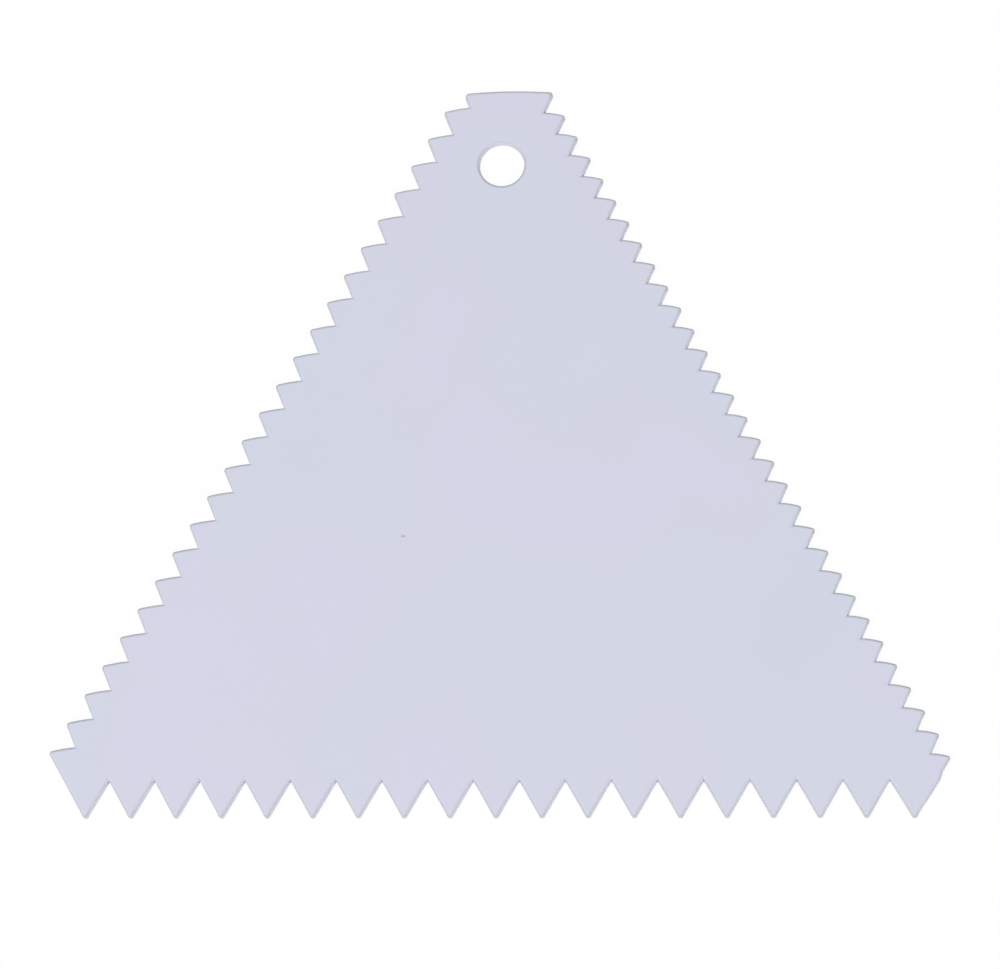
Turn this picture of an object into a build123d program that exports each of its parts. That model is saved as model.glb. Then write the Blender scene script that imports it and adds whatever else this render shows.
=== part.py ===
from build123d import *
import os
from math import sqrt

# Toothed icing comb: one moulded plate with three rows of teeth, a blunt top end and a hanging hole.
# It lies flat. X runs along the coarse row, Y points to the hanging hole, and Z is up.
# The origin is on the resting face, at the centre of the triangle through the tooth tips.
# All sizes are in millimetres.

# Triangle through the tips of the three rows
tip_triangle_side = 128.6

# Plate, bevelled round the front by a share of the smallest tip radius
plate_thickness = 1.2
rim_bevel_share = 0.8

# Lower corners, cut straight across, measured from the triangle's corner along both of its rows
left_corner_cut = 10.6
right_corner_cut = 9.85

# Blunt top end, measured down from the triangle's top corner and bowed a little upwards,
# and the least rise to it from the highest root of each side row
top_end_drop = 11.45
top_end_bow = 0.3
top_corner_radius = 0.5
top_neck_rise = 1.0

# Coarse row, along the bottom, with symmetrical teeth
coarse_pitch = 6.0
coarse_depth = 5.25
coarse_tip_radius = 0.4

# Medium row, up the left side, with the upper flank of each tooth longer and bowed
medium_pitch = 4.424
medium_depth = 2.735
medium_upper_flank_share = 0.53
medium_upper_flank_bow = 0.09
medium_tip_radius = 0.45

# Fine row, up the right side, formed the same way, its first tooth trimmed by the corner cut
fine_pitch = 3.515
fine_depth = 2.2
fine_upper_flank_share = 0.555
fine_upper_flank_bow = 0.13
fine_first_tooth_trim = 0.38
fine_tip_radius = 0.3

# Hanging hole, on the middle line, its centre measured down from the top end
hole_radius = 3.0
hole_drop = 10.25

# Gate mark on the right corner cut, where the moulding was snapped off its runner.
# Its feet and its two crests stand at these shares of the way up the cut.
gate_foot_shares = 0.22, 0.78
gate_crest_shares = 0.33, 0.67
gate_lower_crest = 0.12
gate_upper_crest = 0.24

# Ejector pin marks in the resting face, one towards each corner of the triangle
ejector_radius = 2.0
ejector_depth = 0.1
ejector_reach = 40.0

# Each row is described by the side that it faces and the way that it runs
coarse_facing, coarse_heading = Vector(0, -1), Vector(1, 0)
medium_facing, medium_heading = coarse_facing.rotate(Axis.Z, -120), coarse_heading.rotate(Axis.Z, 60)
fine_facing, fine_heading = coarse_facing.rotate(Axis.Z, 120), coarse_heading.rotate(Axis.Z, 120)

# Worked out from the sizes above
half_side = tip_triangle_side / 2
row_distance = tip_triangle_side / (2 * sqrt(3))
top_end_height = 2 * row_distance - top_end_drop
hole_height = top_end_height - hole_drop
rim_bevel = rim_bevel_share * min(coarse_tip_radius, medium_tip_radius, fine_tip_radius)


def in_row(facing, heading, along, inset):
    """Point at a distance along a row from its first corner, and inset from its line of tips."""
    return facing * (row_distance - inset) + heading * (along - half_side)


def side_row(facing, heading, first_tip, pitch, depth, upper_share):
    """Tips and roots in turn, from the first tip up to the blunt top end."""
    upper_flank = upper_share * pitch
    first_root = in_row(facing, heading, first_tip + upper_flank, depth)
    room = top_end_height - top_neck_rise - first_root.Y
    points = []
    for tooth in range(int(room / (pitch * heading.Y)) + 2):
        tip = first_tip + tooth * pitch
        points.append(in_row(facing, heading, tip, 0))
        points.append(in_row(facing, heading, tip + upper_flank, depth))
    points.pop()
    return points


def meeting_point(start, end, other_start, other_end):
    """Point where the line through two points meets the line through two others."""
    way = end - start
    other_way = other_end - other_start
    return start + way * ((other_start - start).cross(other_way).Z / way.cross(other_way).Z)


def draw_side_row(points, bow):
    """Flanks of a side row, the upper ones bowed and the lower ones straight."""
    for number in range(len(points) - 1):
        if number % 2 == 0:
            SagittaArc(points[number], points[number + 1], bow)
        else:
            Line(points[number], points[number + 1])


def corners_at(sketch, points):
    """Corners of a sketch that stand at the given points."""
    reach = rim_bevel / 100
    return [c for c in sketch.vertices() if min((Vector(c) - p).length for p in points) < reach]


# Coarse row, from the left corner cut to the right one
coarse_first_root = left_corner_cut + coarse_pitch / 2
coarse_span = tip_triangle_side - right_corner_cut - coarse_first_root
coarse_tips = [in_row(coarse_facing, coarse_heading, left_corner_cut, 0)]
coarse_roots = []
for tooth in range(int(coarse_span / coarse_pitch) + 1):
    root = coarse_first_root + tooth * coarse_pitch
    coarse_roots.append(in_row(coarse_facing, coarse_heading, root, coarse_depth))
    coarse_tips.append(in_row(coarse_facing, coarse_heading, root + coarse_pitch / 2, 0))
coarse_tips[-1] = in_row(coarse_facing, coarse_heading, tip_triangle_side - right_corner_cut, 0)
coarse_row = [point for pair in zip(coarse_tips, coarse_roots) for point in pair] + coarse_tips[-1:]

# Top end, before its bow, across the whole triangle
top_end = Vector(-half_side, top_end_height), Vector(half_side, top_end_height)

# Medium row, from the left corner cut up to the top end
medium_row = side_row(
    medium_facing, medium_heading, left_corner_cut, medium_pitch, medium_depth, medium_upper_flank_share
)
medium_row[-1] = meeting_point(medium_row[-2], medium_row[-1], *top_end)

# Fine row, from the right corner cut up to the top end, its first tip moved back to the cut
right_cut_end = in_row(fine_facing, fine_heading, right_corner_cut, 0)
fine_first_tip = right_corner_cut - fine_first_tooth_trim
fine_row = side_row(
    fine_facing, fine_heading, fine_first_tip, fine_pitch, fine_depth, fine_upper_flank_share
)
fine_row[0] = meeting_point(fine_row[0], fine_row[1], coarse_tips[-1], right_cut_end)
fine_row[-1] = meeting_point(fine_row[-2], fine_row[-1], *top_end)

# Gate mark, from its foot near the coarse row to its foot near the fine row
right_cut = fine_row[0] - coarse_tips[-1]
right_cut_outward = right_cut.rotate(Axis.Z, -90).normalized()
gate_shares = gate_foot_shares[0], gate_crest_shares[0], gate_crest_shares[1], gate_foot_shares[1]
gate_heights = 0, gate_lower_crest, gate_upper_crest, 0
gate_mark = [
    coarse_tips[-1] + right_cut * share + right_cut_outward * height
    for share, height in zip(gate_shares, gate_heights)
]

with BuildPart() as comb_plate:
    # Outline through all the teeth, then the rounding of the tips
    with BuildSketch() as outline:
        with BuildLine():
            Polyline(medium_row[0], *coarse_row, *gate_mark, fine_row[0])
            draw_side_row(fine_row, -fine_upper_flank_bow)
            SagittaArc(fine_row[-1], medium_row[-1], -top_end_bow)
            draw_side_row(medium_row, medium_upper_flank_bow)
        make_face()
        fillet(corners_at(outline, coarse_tips), coarse_tip_radius)
        fillet(corners_at(outline, medium_row[:-1:2]), medium_tip_radius)
        fillet(corners_at(outline, fine_row[:-1:2]), fine_tip_radius)
        fillet(corners_at(outline, [medium_row[-1], fine_row[-1]]), top_corner_radius)
    # Straight walls from the resting face up, and the bevel of the front above them
    bevel_foot = plate_thickness - rim_bevel
    extrude(amount=bevel_foot)
    with BuildSketch(Plane.XY.offset(bevel_foot)):
        add(outline.sketch_local)
    extrude(amount=rim_bevel, taper=45)
    # Hanging hole, with the same bevel
    with Locations((0, hole_height, plate_thickness)):
        CounterSinkHole(hole_radius, hole_radius + rim_bevel, counter_sink_angle=90)
    # Ejector pin marks
    with BuildSketch():
        with PolarLocations(ejector_reach, 3, start_angle=90):
            Circle(ejector_radius)
    extrude(amount=ejector_depth, mode=Mode.SUBTRACT)

os.makedirs("parts", exist_ok=True)
comb_plate.part.label = "comb_plate"
export_step(comb_plate.part, "parts/comb_plate.step")
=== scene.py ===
import bpy
import numpy as np
from mathutils import Matrix, Vector, geometry


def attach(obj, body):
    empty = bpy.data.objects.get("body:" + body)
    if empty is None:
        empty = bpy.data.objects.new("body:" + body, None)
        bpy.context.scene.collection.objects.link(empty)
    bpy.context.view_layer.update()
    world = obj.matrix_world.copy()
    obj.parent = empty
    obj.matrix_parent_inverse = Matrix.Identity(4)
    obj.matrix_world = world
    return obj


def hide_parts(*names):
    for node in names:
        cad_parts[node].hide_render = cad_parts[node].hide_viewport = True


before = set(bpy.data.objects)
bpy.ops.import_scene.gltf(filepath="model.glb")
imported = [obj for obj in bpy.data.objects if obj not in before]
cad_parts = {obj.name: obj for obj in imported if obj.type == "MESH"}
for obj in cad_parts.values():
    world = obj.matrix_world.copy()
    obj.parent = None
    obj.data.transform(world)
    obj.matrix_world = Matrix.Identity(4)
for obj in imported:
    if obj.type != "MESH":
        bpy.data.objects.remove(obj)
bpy.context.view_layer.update()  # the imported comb, in metres, lying on its back at the origin
mm = 0.001
print("frame loaded:", ", ".join(sorted(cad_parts)))

# The plate, in millimetres, degrees and shares. Its outline is the solid's but for the top corners, and its
# rim is rounded and its walls lean, where the solid has a bevel and upright walls.
plate = {
    "tipTriangle": 128.6,      # side of the triangle through the tips of all three rows
    "thickness": 1.2,
    "rightCut": 9.85,          # lower right corner, cut straight across, measured along both of its rows
    "topDrop": 11.45,          # blunt top end, down from the triangle's corner
    "topBow": 0.3,
    "topRounds": (0.4, 0.6),   # its corners, at the fine row's end and at the medium row's
    "holeRadius": 3.0,
    "holeDrop": 10.25,         # its centre, down from the top end
    "gateShares": (0.22, 0.33, 0.67, 0.78),   # broken gate on the right cut: feet and crests
    "gateHeights": (0.0, 0.12, 0.24, 0.0),
    "pinRadius": 2.0,          # ejector pin marks on the back
    "pinDepth": 0.1,
    "pinReach": 40.0,
    "pinAngles": (90, 210, 330),
    "pinSoftShare": 0.25,      # share of their depth that softens their edges
    "frontRound": 0.4,         # rounding of the rim at the front, less wherever a tip has no room for it
    "backRound": 0.1,          # and at the back
    "draft": 3.0,              # lean of the walls, with which the plate leaves its mould
    "margin": 0.03,            # flat strip that carries the shading off the rounded rim
    "roomShare": 0.9,          # share of a tip's own rounding that the rim may take there
    "rimPaintedShade": 0.5,            # painted shade on the rim round the hole, the cuts and the top end
    "wallPaintedShade": 0.35,          # share of that painted shade on the walls
    "wavePaintedShade": 2.6,           # height of the painted shade's wave over the front round
    "pinPaintedShades": (0, 0.2, 0.3, 0.3, 0.2, 0),   # shares of the painted shade over the edge of a pin mark
    "toneReach": 0.6,          # how far the painted shade of tips and roots reaches along the flanks
    "shadeReach": 0.8,         # how far in from the line of tips the painted shade on the face reaches
    "tipSteps": 8,             # steps round a corner, along an edge, round the hole and round a pin mark
    "edgeSteps": 9,
    "holeSteps": 96,
    "pinSteps": 48,
    "backPoints": 4,           # points over the rounding of the rim, back and front
    "frontPoints": 7,
    "smoothUpTo": 32,          # edges that turn by more than this stay crisp
    "mergeWithin": 1e-6,       # points of a flat face this near each other are one
    "least": 1e-4,             # shortest length that counts
}

# The rows of teeth: the angle that a row faces and the one that it runs along, its first tip measured from
# the triangle's corner, the share of a pitch from a tip to the next root, the bow of that flank, and the
# painted shade on the rim along its flanks, at its tips and at its roots, and on the face towards its tips
coarseRow = {"facing": -90, "running": 0, "firstTip": 10.6, "teeth": 19, "pitch": 6.0, "depth": 5.25,
             "upperShare": 0.5, "bow": 0.0, "tipRound": 0.4, "rimPaintedShade": 0.45, "tipPaintedShade": 0.6,
             "rootPaintedShade": 0.25, "tipFacePaintedShade": 0.7}
mediumRow = {"facing": 150, "running": 60, "firstTip": 10.6, "teeth": 25, "pitch": 4.424, "depth": 2.735,
             "upperShare": 0.53, "bow": 0.09, "tipRound": 0.45, "rimPaintedShade": 0.45, "tipPaintedShade": 0.55,
             "rootPaintedShade": 0.1, "tipFacePaintedShade": 0.4}
fineRow = {"facing": 30, "running": 120, "firstTip": 9.47, "teeth": 31, "pitch": 3.515, "depth": 2.2,
           "upperShare": 0.555, "bow": 0.13, "tipRound": 0.3, "rimPaintedShade": 0.3, "tipPaintedShade": 0.95,
           "rootPaintedShade": 0.1, "tipFacePaintedShade": 0.95}


def inRow(row, along, inset):
    # a point of a row: out along its facing angle to the line of tips, less the inset, and on along the row
    facing, heading = np.radians(row["facing"]), np.radians(row["running"])
    out = plate["tipTriangle"] / (2 * np.sqrt(3)) - np.asarray(inset, float)
    run = np.asarray(along, float) - plate["tipTriangle"] / 2
    x = out * np.cos(facing) + run * np.cos(heading)
    y = out * np.sin(facing) + run * np.sin(heading)
    return np.stack([x, y], axis=-1)


def rowCorners(row):
    # tips and roots in turn: tip number k lies k pitches on, its root a share of a pitch further
    tip = row["firstTip"] + row["pitch"] * np.arange(row["teeth"])
    tips = inRow(row, tip, 0)
    roots = inRow(row, tip + row["upperShare"] * row["pitch"], row["depth"])
    return np.stack([tips, roots], axis=1).reshape(-1, 2)[:-1]


def crossing(a, b, c, d):
    # where the line a to b meets the line c to d: a, plus the way to b times the ratio of two cross products
    way, other = b - a, d - c
    across = lambda p, q: p[0] * q[1] - p[1] * q[0]
    return a + way * across(c - a, other) / across(way, other)


def roundedRing(corners, radii, bows, tones, arcSteps, edgeSteps):
    # Each edge is an arc of a circle that bulges by its bow, and a straight one has a bow too small to show.
    # Each corner is rounded by the circle of its radius that touches both edges from the inside.
    # The ring is a grid, corners by steps: first the rounding from touch to touch, then the edge to the next
    # corner. With it come the painted shade of each point and the share of the rim's rounding that it has
    # room for.
    after = np.roll(corners, -1, axis=0)
    chord = after - corners
    length = np.hypot(*chord.T)[:, None]
    outward = np.stack([chord[:, 1], -chord[:, 0]], axis=-1) / length
    bow = np.maximum(bows, plate["least"])[:, None]
    bend = length ** 2 / (8 * bow) + bow / 2
    middle = (corners + after) / 2 - outward * (bend - bow)
    middleBefore, bendBefore = np.roll(middle, 1, axis=0), np.roll(bend, 1, axis=0)
    r = radii[:, None]
    # the rounding's centre lies a radius inside both arcs, where two smaller circles cross near the corner
    between = middle - middleBefore
    apart = np.hypot(*between.T)[:, None]
    along = (apart ** 2 + (bendBefore - r) ** 2 - (bend - r) ** 2) / (2 * apart)
    aside = np.sqrt(np.maximum((bendBefore - r) ** 2 - along ** 2, 0))
    unit = between / apart
    normal = np.stack([-unit[:, 1], unit[:, 0]], axis=-1)
    base = middleBefore + unit * along
    one, two = base + normal * aside, base - normal * aside
    nearer = np.hypot(*(one - corners).T) < np.hypot(*(two - corners).T)
    centre = np.where(nearer[:, None], one, two)
    toward = lambda a, b: (b - a) / np.hypot(*(b - a).T)[:, None]
    touchIn = middleBefore + toward(middleBefore, centre) * bendBefore
    touchOut = middle + toward(middle, centre) * bend

    def sweep(pivot, start, end, size, steps):
        # points on a circle about the pivot, from start to end the short way round
        first = np.arctan2(*(start - pivot).T[::-1])[:, None]
        last = np.arctan2(*(end - pivot).T[::-1])[:, None]
        turn = (last - first + np.pi) % (2 * np.pi) - np.pi
        angle = first + turn * steps
        return pivot[:, None, :] + size[:, :, None] * np.stack([np.cos(angle), np.sin(angle)], axis=-1)

    arcs = sweep(centre, touchIn, touchOut, r, np.linspace(0, 1, arcSteps + 1)[None])
    u = np.linspace(0, 1, edgeSteps + 1)[1:-1]
    edges = sweep(middle, touchOut, np.roll(touchIn, -1, axis=0), bend, u[None])

    def spread(value):
        # a corner's value holds on its rounding and fades along the edges on both sides of it
        fade = lambda d: np.exp(-d / plate["toneReach"])
        near = value * fade(u * length) + np.roll(value, -1, axis=0) * fade((1 - u) * length)
        return np.concatenate([np.repeat(value, arcSteps + 1, axis=1), near], axis=1)

    # painted shade along the ring: the flank's value, with each corner's own faded in along its edges
    tone = tones[:, :1] + spread(tones[:, 1:] - tones[:, :1])
    room = 1 - spread((r > 0) * np.maximum(1 - plate["roomShare"] * r / rimProfile()[:, 0].max(), 0))
    ring = np.concatenate([arcs, edges], axis=1).reshape(-1, 2)
    distinct = np.hypot(*(ring - np.roll(ring, 1, axis=0)).T) > plate["least"]
    return ring[distinct], tone.reshape(-1)[distinct], room.reshape(-1)[distinct]


def combOutline():
    # the three rows, the gate on the right cut and the blunt top end, anticlockwise from the lower left
    coarse, medium, fine = rowCorners(coarseRow), rowCorners(mediumRow), rowCorners(fineRow)
    side = plate["tipTriangle"]
    coarse[-1] = inRow(coarseRow, side - plate["rightCut"], 0)
    topHeight = side / np.sqrt(3) - plate["topDrop"]
    topLine = np.array([[-side / 2, topHeight], [side / 2, topHeight]])
    cutEnd = inRow(fineRow, plate["rightCut"], 0)
    fine[0] = crossing(fine[0], fine[1], coarse[-1], cutEnd)
    fine[-1] = crossing(fine[-2], fine[-1], *topLine)
    medium[-1] = crossing(medium[-2], medium[-1], *topLine)
    cut = fine[0] - coarse[-1]
    cutOutward = np.array([cut[1], -cut[0]]) / np.hypot(*cut)
    gate = coarse[-1] + np.outer(plate["gateShares"], cut) + np.outer(plate["gateHeights"], cutOutward)
    isTip = lambda row: np.arange(len(row)) % 2 == 0
    corners = np.concatenate([coarse, gate, fine, medium[::-1]])
    radii = np.concatenate([
        isTip(coarse) * coarseRow["tipRound"], np.zeros(len(gate)),
        isTip(fine) * fineRow["tipRound"], (isTip(medium) * mediumRow["tipRound"])[::-1]])
    topCorners = len(coarse) + len(gate) + len(fine) + np.array([-1, 0])
    radii[topCorners] = plate["topRounds"]
    bows = np.concatenate([
        isTip(coarse) * coarseRow["bow"], np.zeros(len(gate)),
        isTip(fine) * fineRow["bow"], (~isTip(medium) * mediumRow["bow"])[::-1]])
    bows[topCorners[0]] = plate["topBow"]

    def paintedShadeOf(row):
        # the painted shade along the flanks and at the corner itself, for tips and roots in turn
        tip, root = [row["rimPaintedShade"], row["tipPaintedShade"]], [row["rimPaintedShade"], row["rootPaintedShade"]]
        return np.array([tip, root] * row["teeth"])[:-1]

    # painted shade on the rim of the gate, the same as along the cuts
    plain = np.full((len(gate), 2), plate["rimPaintedShade"])
    tones = np.concatenate([paintedShadeOf(coarseRow), plain, paintedShadeOf(fineRow), paintedShadeOf(mediumRow)])
    tones[topCorners] = plate["rimPaintedShade"]
    return roundedRing(corners, radii, bows, tones, plate["tipSteps"], plate["edgeSteps"])


def circleRing(centre, radius, steps):
    # clockwise, because the plate lies outside it
    angle = -2 * np.pi * np.arange(steps) / steps
    return np.asarray(centre) + radius * np.stack([np.cos(angle), np.sin(angle)], axis=-1)


def rimProfile():
    # Quarter round at the back, straight wall, quarter round at the front, and a flat strip at either end.
    # Its columns are the distance in from the outline, which grows with the height by the draft, the height,
    # and the share of the rim's painted shade, steady on the wall and a wave over the front round.
    back, front, strip = plate["backRound"], plate["frontRound"], plate["margin"]
    top = plate["thickness"]
    low = np.radians(np.linspace(0, 90, plate["backPoints"]))
    high = np.radians(np.linspace(0, 90, plate["frontPoints"]))
    inset = [back + strip, *(back * (1 - np.sin(low))), *(front * (1 - np.cos(high))), front + strip]
    height = [0, *(back * (1 - np.cos(low))), *(top - front * (1 - np.sin(high))), top]
    wall, wave = plate["wallPaintedShade"], plate["wavePaintedShade"] * np.cos(high) * np.sin(high) ** 2
    shade = [0, *(wall * np.sin(low)), *(wall * np.cos(high) ** 2 + wave), 0]
    inset = np.array(inset) + np.array(height) * np.tan(np.radians(plate["draft"]))
    return np.array([inset, height, shade]).T


def pinProfile():
    # from the back face over a soft edge, up the wall of the mark and onto its floor: inset, height and
    # painted shade
    deep, strip = plate["pinDepth"], plate["margin"]
    soft = plate["pinSoftShare"] * deep
    inset = [strip, soft, 0, 0, -soft, -strip]
    height = [0, 0, soft, deep - soft, deep, deep]
    return np.array([inset, height, plate["pinPaintedShades"]]).T


def carried(ring, profile, room):
    # the profile carried round a ring: each point moves in along the mitre of its two edges, by the profile's
    # inset times the room there, and up by the profile's height
    ahead = np.roll(ring, -1, axis=0) - ring
    normal = np.stack([ahead[:, 1], -ahead[:, 0]], axis=-1) / np.hypot(*ahead.T)[:, None]
    before = np.roll(normal, 1, axis=0)
    mitre = (before + normal) / (1 + (before * normal).sum(axis=1))[:, None]
    flat = ring[:, None, :] - mitre[:, None, :] * (room[:, None] * profile[None, :, 0])[:, :, None]
    height = np.broadcast_to(profile[None, :, 1, None], flat.shape[:2] + (1,))
    return np.concatenate([flat, height], axis=2)


def gridFaces(start, count, steps):
    # quads between neighbouring ring points and neighbouring profile steps, the ring closed on itself
    i, j = np.meshgrid(np.arange(count), np.arange(steps - 1), indexing="ij")
    k = (i + 1) % count
    quad = np.stack([i * steps + j, k * steps + j, k * steps + j + 1, i * steps + j + 1], axis=-1)
    return (start + quad.reshape(-1, 4)).tolist()


def flatFaces(points, loops, upward):
    # triangles between the loops of a flat face, each loop a row of point numbers, less those that only
    # join points of one inner loop and so lie inside it
    used = np.concatenate(loops)
    loopOf = np.repeat(np.arange(len(loops)), [len(loop) for loop in loops])
    starts = np.cumsum([0] + [len(loop) for loop in loops[:-1]])
    edges = np.concatenate([
        np.stack([first + np.arange(len(loop)), first + (np.arange(len(loop)) + 1) % len(loop)], axis=-1)
        for first, loop in zip(starts, loops)])
    made = geometry.delaunay_2d_cdt(
        [Vector(p) for p in points[used, :2].tolist()], edges.tolist(), [], 1, plate["mergeWithin"])
    triangles, sources = made[2], made[3]
    number = np.array([source[0] for source in sources])[np.array(triangles)]
    first, second, third = loopOf[number].T
    triangle = used[number[(first == 0) | (first != second) | (first != third)]]
    a, b, c = (points[triangle[:, n], :2] for n in range(3))
    turn = np.cross(b - a, c - a)
    flipped = (turn > 0) != upward
    triangle[flipped] = triangle[flipped][:, ::-1]
    return triangle.tolist()


def buildPlate():
    # the rim carried round the outline and the hole, the pin marks' edges round theirs, flat faces between
    outline, outlinePaintedShade, room = combOutline()
    holeHeight = plate["tipTriangle"] / np.sqrt(3) - plate["topDrop"] - plate["holeDrop"]
    hole = circleRing((0, holeHeight), plate["holeRadius"], plate["holeSteps"])
    pinPlaces = [plate["pinReach"] * np.array([np.cos(a), np.sin(a)]) for a in np.radians(plate["pinAngles"])]
    pins = [circleRing(centre, plate["pinRadius"], plate["pinSteps"]) for centre in pinPlaces]
    rim, pin = rimProfile(), pinProfile()
    rings = [(outline, rim, outlinePaintedShade, room)]
    rings += [(ring, profile, np.full(len(ring), plate["rimPaintedShade"]), np.ones(len(ring)))
              for ring, profile in zip([hole, *pins], [rim, pin, pin, pin])]
    points, tones, faces, firsts, lasts, start = [], [], [], [], [], 0
    for ring, profile, tone, width in rings:
        count, steps = len(ring), len(profile)
        points.append(carried(ring, profile, width).reshape(-1, 3))
        # painted shade of each point: the ring's value times the profile's share
        tones.append((tone[:, None] * profile[None, :, 2]).reshape(-1))
        faces += gridFaces(start, count, steps)
        firsts.append(start + steps * np.arange(count))
        lasts.append(start + steps * np.arange(count) + steps - 1)
        start += count * steps
    points, tones = np.concatenate(points), np.concatenate(tones)
    faces += flatFaces(points, lasts[:2], True)       # front face, with the hole in it
    faces += flatFaces(points, firsts, False)         # back face, with the hole and the pin marks in it
    for floorRing in lasts[2:]:
        faces += flatFaces(points, [floorRing], False)
    mesh = bpy.data.meshes.new("combPlateSkin")
    mesh.from_pydata((points * mm).tolist(), [], faces)
    # the painted shade goes to the material as a point attribute
    mesh.attributes.new("paintedShadeGrey", "FLOAT", "POINT").data.foreach_set("value", tones.astype(np.float32))
    mesh.shade_smooth()
    mesh.set_sharp_from_angle(angle=np.radians(plate["smoothUpTo"]))
    skin = bpy.data.objects.new("combPlateSkin", mesh)
    bpy.context.scene.collection.objects.link(skin)
    print("comb plate:", len(points), "points,", len(faces), "faces, ring of", len(outline))
    return skin


skin = buildPlate()
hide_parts("comb_plate")
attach(skin, "root")

# The plastic: one lavender white resin, its colours as linear light and its patterns in metres
plastic = {
    "colour": (0.632, 0.640, 0.762, 1),      # lavender white
    "tint": (0.618, 0.646, 0.750, 1),        # faint bluish clouds in the resin
    "paintedShadeColour": (0.46, 0.46, 0.485, 1),    # painted shade of rims, walls, roots, tips and pin mark edges
    "cloudScale": 34.0,
    "cloudDetail": 2.0,
    "cloudRoughness": 0.4,
    "cloudRange": (0.42, 0.68),              # noise that is all colour, and noise that is all tint
    "roughness": (0.40, 0.50),               # slow ripples in the gloss
    "rippleScale": 90.0,
    "rippleDetail": 1.0,
    "rippleRange": (0.3, 0.7),
    "rippleBump": (0.05, 0.5 * mm),          # strength and depth
    "grainScale": 5200.0,                    # fine grain of the mould
    "grainDetail": 3.0,
    "grainRoughness": 0.55,
    "grainBump": (0.12, 0.03 * mm),
    "speck": (-12.45 * mm, 0.85 * mm, 1.2 * mm),
    "speckSize": 0.29 * mm,
    "speckCore": 0.4,                        # share of its size that is at full strength
    "speckStrength": 0.9,
    "speckStretch": (0.72, 1.2, 1.0),        # wider than it is high
    "speckColour": (0.42, 0.42, 0.52, 1),
    "ior": 1.47,
    "specular": 0.4,
}


def plasticMaterial():
    # Colour: resin clouded with the tint, mixed towards the painted shade's grey by the rim's painted shade
    # and the tips' painted shade, with the speck on top. Gloss: ripples. Surface: bump of the grain over that
    # of the ripples.
    material = bpy.data.materials.new("combPlastic")
    material.use_nodes = True
    nodes, links = material.node_tree.nodes, material.node_tree.links
    shader = nodes["Principled BSDF"]
    place = nodes.new("ShaderNodeTexCoord").outputs["Object"]

    def add(kind, inputs=(), **settings):
        # a node of the kind, with its settings, its inputs linked to sockets or set to values
        node = nodes.new(kind)
        for name, value in settings.items():
            setattr(node, name, value)
        for socket, value in dict(inputs).items():
            if isinstance(value, bpy.types.NodeSocket):
                links.new(value, node.inputs[socket])
            else:
                node.inputs[socket].default_value = value
        return node

    def mixed(share, first, second):
        # the first colour, less its share, plus that share of the second
        return add("ShaderNodeMix", {0: share, 6: first, 7: second}, data_type="RGBA").outputs[2]

    clouds = add("ShaderNodeTexNoise", {
        "Vector": place, "Scale": plastic["cloudScale"], "Detail": plastic["cloudDetail"],
        "Roughness": plastic["cloudRoughness"]})
    cloudy = add("ShaderNodeMapRange", {
        "Value": clouds.outputs["Fac"], "From Min": plastic["cloudRange"][0],
        "From Max": plastic["cloudRange"][1]})
    resin = mixed(cloudy.outputs["Result"], plastic["colour"], plastic["tint"])

    # painted shade of the rim, plus a painted shade that grows towards each row's line of tips
    grey = add("ShaderNodeAttribute", attribute_name="paintedShadeGrey").outputs["Fac"]
    tipLine = plate["tipTriangle"] / (2 * np.sqrt(3)) * mm
    for row in (coarseRow, mediumRow, fineRow):
        facing = np.radians(row["facing"])
        out = add("ShaderNodeVectorMath", {0: place, 1: (np.cos(facing), np.sin(facing), 0)},
                  operation="DOT_PRODUCT")
        near = add("ShaderNodeMapRange", {
            "Value": out.outputs["Value"], "From Min": tipLine - plate["shadeReach"] * mm,
            "From Max": tipLine, "To Max": row["tipFacePaintedShade"]})
        grey = add("ShaderNodeMath", {0: grey, 1: near.outputs["Result"]}, operation="ADD").outputs[0]
    # painted shade: the resin darkened towards the grey by the rim's and the tips' painted shade
    rimmed = mixed(grey, resin, plastic["paintedShadeColour"])

    # distance from the speck's centre, stretched, fading it out at its edge
    beside = add("ShaderNodeVectorMath", {0: place, 1: plastic["speck"]}, operation="SUBTRACT")
    shaped = add("ShaderNodeVectorMath", {0: beside.outputs[0], 1: plastic["speckStretch"]},
                 operation="MULTIPLY")
    away = add("ShaderNodeVectorMath", {0: shaped.outputs[0]}, operation="LENGTH")
    dot = add("ShaderNodeMapRange", {
        "Value": away.outputs["Value"], "From Min": plastic["speckSize"] * plastic["speckCore"],
        "From Max": plastic["speckSize"], "To Min": plastic["speckStrength"], "To Max": 0.0},
        interpolation_type="SMOOTHSTEP")
    specked = mixed(dot.outputs["Result"], rimmed, plastic["speckColour"])
    links.new(specked, shader.inputs["Base Color"])

    grain = add("ShaderNodeTexNoise", {
        "Vector": place, "Scale": plastic["grainScale"], "Detail": plastic["grainDetail"],
        "Roughness": plastic["grainRoughness"]})
    ripple = add("ShaderNodeTexNoise", {
        "Vector": place, "Scale": plastic["rippleScale"], "Detail": plastic["rippleDetail"]})
    gloss = add("ShaderNodeMapRange", {
        "Value": ripple.outputs["Fac"], "From Min": plastic["rippleRange"][0],
        "From Max": plastic["rippleRange"][1], "To Min": plastic["roughness"][0],
        "To Max": plastic["roughness"][1]})
    links.new(gloss.outputs["Result"], shader.inputs["Roughness"])
    ripples = add("ShaderNodeBump", {
        "Height": ripple.outputs["Fac"], "Strength": plastic["rippleBump"][0],
        "Distance": plastic["rippleBump"][1]})
    grained = add("ShaderNodeBump", {
        "Height": grain.outputs["Fac"], "Strength": plastic["grainBump"][0],
        "Distance": plastic["grainBump"][1], "Normal": ripples.outputs["Normal"]})
    links.new(grained.outputs["Normal"], shader.inputs["Normal"])
    shader.inputs["IOR"].default_value = plastic["ior"]
    shader.inputs["Specular IOR Level"].default_value = plastic["specular"]
    return material


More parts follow.
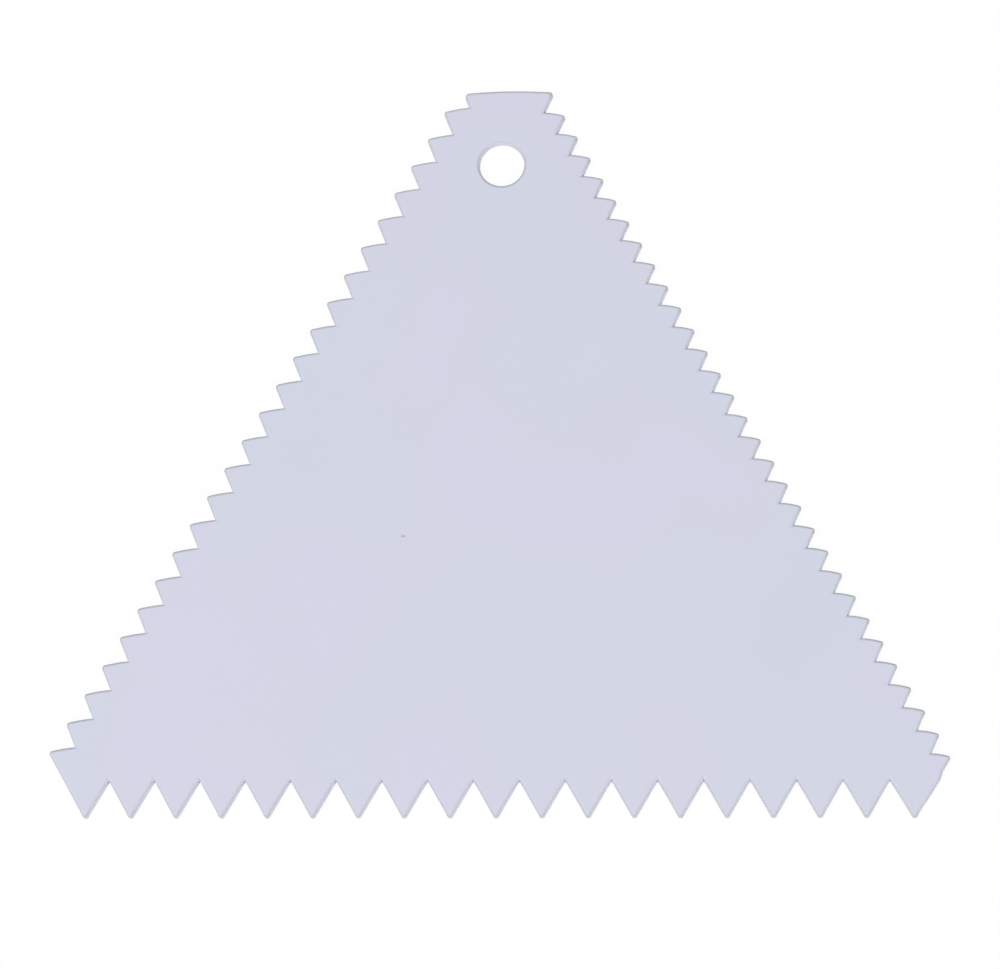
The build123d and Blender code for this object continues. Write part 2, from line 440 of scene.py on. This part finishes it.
skin.data.materials.append(plasticMaterial())
print("plastic mixed")

# The studio: a pale floor, soft lamps and a plain world
studio = {
    "floorSize": 4.0,
    "floorGap": 0.02 * mm,       # between the floor and the plate's back
    "floorColour": (0.93, 0.93, 0.93, 1),
    "shadowShare": 0.06,         # how much of the floor's own light and shadow the camera sees
    "worldStrength": 0.34,
    "lamps": {                   # watts, azimuth and height in degrees, distance and size in metres
        "keyLamp": (95.0, 205, 50, 4.0, 2.0),
        "fillLamp": (73.0, 321, 35, 4.0, 2.0),
    },
}


def seenAsBackground(nodes, links):
    # 1 for what the camera sees, straight or in a gloss or through something clear, otherwise 0
    light = nodes.new("ShaderNodeLightPath")
    either, anyOf = nodes.new("ShaderNodeMath"), nodes.new("ShaderNodeMath")
    either.operation = anyOf.operation = "MAXIMUM"
    links.new(light.outputs["Is Camera Ray"], either.inputs[0])
    links.new(light.outputs["Is Glossy Ray"], either.inputs[1])
    links.new(either.outputs[0], anyOf.inputs[0])
    links.new(light.outputs["Is Transmission Ray"], anyOf.inputs[1])
    return anyOf.outputs[0]


def studioFloor():
    # a square, white to the camera but for a share of its own light and shadow
    half = studio["floorSize"] / 2
    mesh = bpy.data.meshes.new("studioFloor")
    corners = [(-half, -half), (half, -half), (half, half), (-half, half)]
    mesh.from_pydata([(x, y, -studio["floorGap"]) for x, y in corners], [], [(0, 1, 2, 3)])
    floor = bpy.data.objects.new("studioFloor", mesh)
    bpy.context.scene.collection.objects.link(floor)
    material = bpy.data.materials.new("paleFloor")
    material.use_nodes = True
    nodes, links = material.node_tree.nodes, material.node_tree.links
    nodes.clear()
    lit = nodes.new("ShaderNodeBsdfDiffuse")
    lit.inputs["Color"].default_value = studio["floorColour"]
    white = nodes.new("ShaderNodeEmission")
    white.inputs["Strength"].default_value = 1.0
    seen = nodes.new("ShaderNodeMixShader")
    seen.inputs[0].default_value = 1 - studio["shadowShare"]
    chosen = nodes.new("ShaderNodeMixShader")
    out = nodes.new("ShaderNodeOutputMaterial")
    links.new(lit.outputs[0], seen.inputs[1])
    links.new(white.outputs[0], seen.inputs[2])
    links.new(seenAsBackground(nodes, links), chosen.inputs[0])
    links.new(lit.outputs[0], chosen.inputs[1])
    links.new(seen.outputs[0], chosen.inputs[2])
    links.new(chosen.outputs[0], out.inputs["Surface"])
    mesh.materials.append(material)


def studioLight():
    # a world that lights weakly and looks white, and round lamps turned to the origin, each set at its
    # distance along its azimuth and height
    world = bpy.data.worlds.new("studioWorld")
    world.use_nodes = True
    bpy.context.scene.world = world
    nodes, links = world.node_tree.nodes, world.node_tree.links
    sky = nodes["Background"]
    sky.inputs["Color"].default_value = (1, 1, 1, 1)
    sky.inputs["Strength"].default_value = studio["worldStrength"]
    white = nodes.new("ShaderNodeBackground")
    white.inputs["Strength"].default_value = 1.0
    chosen = nodes.new("ShaderNodeMixShader")
    links.new(seenAsBackground(nodes, links), chosen.inputs[0])
    links.new(sky.outputs[0], chosen.inputs[1])
    links.new(white.outputs[0], chosen.inputs[2])
    links.new(chosen.outputs[0], nodes["World Output"].inputs["Surface"])
    for name, (power, azimuth, height, distance, size) in studio["lamps"].items():
        data = bpy.data.lights.new(name, "AREA")
        data.energy, data.size, data.shape = power, size, "DISK"
        a, h = np.radians([azimuth, height])
        place = distance * Vector((np.cos(a) * np.cos(h), np.sin(a) * np.cos(h), np.sin(h)))
        lamp = bpy.data.objects.new(name, data)
        lamp.location = place
        lamp.rotation_euler = (-place).to_track_quat("-Z", "Y").to_euler()
        bpy.context.scene.collection.objects.link(lamp)


# The photograph's view, in metres, with the roll in degrees and the lens and sensor in millimetres
shot = {
    "place": (0.04276, -0.11776, 0.49822),
    "aim": (0.00023, 0.0081, 0.0),
    "roll": 0.74,
    "lens": 139.697,
    "sensor": 36.0,
    "clip": (0.01, 20.0),
}


def shotCamera():
    # stands at its place, looks at its aim with the comb's top upwards, and is rolled about the way it looks
    data = bpy.data.cameras.new("shotCamera")
    data.lens, data.sensor_width = shot["lens"], shot["sensor"]
    data.clip_start, data.clip_end = shot["clip"]
    camera = bpy.data.objects.new("shotCamera", data)
    back = (Vector(shot["place"]) - Vector(shot["aim"])).normalized()
    right = Vector((0, 1, 0)).cross(back).normalized()
    level = Matrix((right, back.cross(right), back)).transposed()
    turned = level @ Matrix.Rotation(np.radians(shot["roll"]), 3, "Z")
    camera.matrix_world = Matrix.Translation(shot["place"]) @ turned.to_4x4()
    bpy.context.scene.collection.objects.link(camera)
    bpy.context.scene.camera = camera


studioFloor()
studioLight()
shotCamera()
bpy.context.scene.view_settings.view_transform = "Standard"
print("studio ready")
